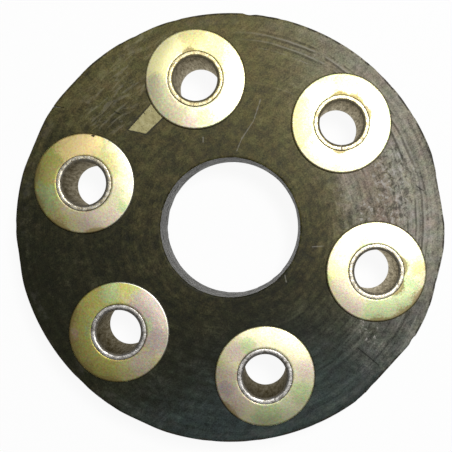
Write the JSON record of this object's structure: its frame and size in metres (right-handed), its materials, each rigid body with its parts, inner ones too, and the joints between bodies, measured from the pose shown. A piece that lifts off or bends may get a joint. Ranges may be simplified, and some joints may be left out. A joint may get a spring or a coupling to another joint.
{
  "type": "disc coupling",
  "caption": "Flexible shaft coupling: a canvas-reinforced rubber disc with a centre hole and a ring of swaged steel bolt sleeves, each between dished washers.",
  "frame": {"origin": "centre of the disc at mid-thickness, on the axis of rotation", "axes": "+Z along the axis of rotation, out of the front face, which is the one with the tape end; +X from the centre to the first sleeve"},
  "size_m": [0.1198, 0.12, 0.023],
  "materials": {
    "canvas_rubber": "worn, matt",
    "plated_steel": "yellow passivated zinc, spun",
    "sleeve_steel": "plated, worn bright at the lips",
    "woven_tape": "plain weave"
  },
  "bodies": {
    "root": {"rubber_disc": "canvas_rubber", "sleeve_1": "sleeve_steel", "sleeve_2": "sleeve_steel", "sleeve_3": "sleeve_steel", "sleeve_4": "sleeve_steel", "sleeve_5": "sleeve_steel", "sleeve_6": "sleeve_steel", "front_washer_1": "plated_steel", "front_washer_2": "plated_steel", "front_washer_3": "plated_steel", "front_washer_4": "plated_steel", "front_washer_5": "plated_steel", "front_washer_6": "plated_steel", "rear_washer_1": "plated_steel", "rear_washer_2": "plated_steel", "rear_washer_3": "plated_steel", "rear_washer_4": "plated_steel", "rear_washer_5": "plated_steel", "rear_washer_6": "plated_steel", "tape_end": "woven_tape"}
  },
  "joints": []
}
